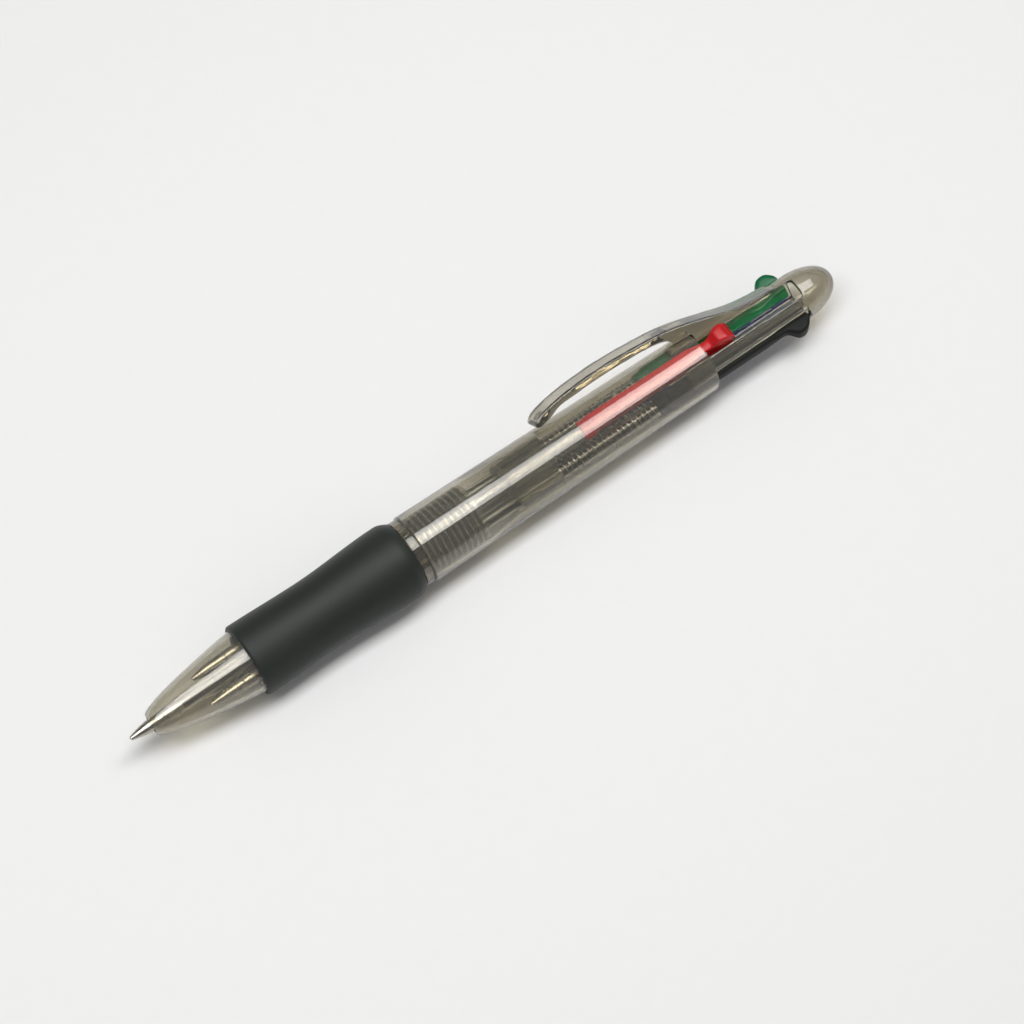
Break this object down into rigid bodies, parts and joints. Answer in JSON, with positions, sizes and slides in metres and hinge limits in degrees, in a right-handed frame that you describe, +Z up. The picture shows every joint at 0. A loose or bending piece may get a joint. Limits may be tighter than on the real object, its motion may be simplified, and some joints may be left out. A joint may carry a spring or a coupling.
{
  "type": "multicolor click pen",
  "caption": "Click pen with a clear smoke barrel and clip, a rubber grip, and sliders at the crown that each push out a refill of their own colour.",
  "frame": {"origin": "under the middle of the pen, on the surface it lies on", "axes": "+X from the point to the crown, +Z up, with the red slider up, the green one towards +Y and the clip between them"},
  "size_m": [0.1464, 0.0157, 0.0157],
  "materials": {
    "smoke_plastic": "polished clear smoke-grey polycarbonate",
    "grip_rubber": "smooth satin moulded rubber",
    "red_plastic": "glossy moulded",
    "black_plastic": "glossy moulded",
    "blue_plastic": "glossy moulded",
    "green_plastic": "glossy moulded",
    "spring_steel": "drawn wire",
    "tube_plastic": "clear extruded tube",
    "red_ink": "dark paste ink",
    "black_ink": "dark paste ink",
    "blue_ink": "dark paste ink",
    "green_ink": "dark paste ink",
    "tip_metal": "turned nickel silver",
    "ball_metal": "polished carbide"
  },
  "bodies": {
    "barrel": {"front_barrel": "smoke_plastic", "grip_sleeve": "grip_rubber", "rear_barrel": "smoke_plastic", "refill_guide": "smoke_plastic", "slider_core": "smoke_plastic", "crown_clip": "smoke_plastic", "red_spring": "spring_steel", "black_spring": "spring_steel", "blue_spring": "spring_steel", "green_spring": "spring_steel"},
    "red_slider": {"red_slider": "red_plastic"},
    "red_refill": {"red_tube": "tube_plastic", "red_ink": "red_ink", "red_tip": "tip_metal", "red_ball": "ball_metal"},
    "black_slider": {"black_slider": "black_plastic"},
    "black_refill": {"black_tube": "tube_plastic", "black_ink": "black_ink", "black_tip": "tip_metal", "black_ball": "ball_metal"},
    "blue_slider": {"blue_slider": "blue_plastic"},
    "blue_refill": {"blue_tube": "tube_plastic", "blue_ink": "blue_ink", "blue_tip": "tip_metal", "blue_ball": "ball_metal"},
    "green_slider": {"green_slider": "green_plastic"},
    "green_refill": {"green_tube": "tube_plastic", "green_ink": "green_ink", "green_tip": "tip_metal", "green_ball": "ball_metal"}
  },
  "joints": [
    {"name": "red_slide", "type": "slide", "parent": "barrel", "child": "red_slider", "axis": [-1, 0, 0], "range_m": [-0.014, 0], "deforming": ["red_spring"]},
    {"name": "black_slide", "type": "slide", "parent": "barrel", "child": "black_slider", "axis": [-1, 0, 0], "range_m": [0, 0.014], "stiffness_N_per_m": 40, "springref_m": -0.01, "deforming": ["black_spring", "black_tube", "black_ink", "black_tip", "black_ball"]},
    {"name": "blue_slide", "type": "slide", "parent": "barrel", "child": "blue_slider", "axis": [-1, 0, 0], "range_m": [0, 0.014], "stiffness_N_per_m": 40, "springref_m": -0.01, "deforming": ["blue_spring", "blue_tube", "blue_ink", "blue_tip", "blue_ball"]},
    {"name": "green_slide", "type": "slide", "parent": "barrel", "child": "green_slider", "axis": [-1, 0, 0], "range_m": [0, 0.014], "stiffness_N_per_m": 40, "springref_m": -0.01, "deforming": ["green_spring", "green_tube", "green_ink", "green_tip", "green_ball"]},
    {"name": "red_refill_bend", "type": "hinge", "parent": "red_slider", "child": "red_refill", "pos_m": [0.0168, -0.00079, 0.00985], "axis": [0, -1, 0], "range_deg": [-1.8, 0]},
    {"name": "black_refill_bend", "type": "hinge", "parent": "black_slider", "child": "black_refill", "pos_m": [0.0308, -0.00359, 0.00705], "axis": [0, 0, -1], "range_deg": [0, 1.8]},
    {"name": "blue_refill_bend", "type": "hinge", "parent": "blue_slider", "child": "blue_refill", "pos_m": [0.0308, -0.00079, 0.00425], "axis": [0, 1, 0], "range_deg": [0, 1.8]},
    {"name": "green_refill_bend", "type": "hinge", "parent": "green_slider", "child": "green_refill", "pos_m": [0.0308, 0.00201, 0.00705], "axis": [0, 0, 1], "range_deg": [0, 1.8]}
  ],
  "couplings": [
    {"joint": "red_refill_bend", "follows": "red_slide", "rad_per_m": 2.2215},
    {"joint": "black_refill_bend", "follows": "black_slide", "rad_per_m": 2.2215},
    {"joint": "blue_refill_bend", "follows": "blue_slide", "rad_per_m": 2.2215},
    {"joint": "green_refill_bend", "follows": "green_slide", "rad_per_m": 2.2215}
  ]
}
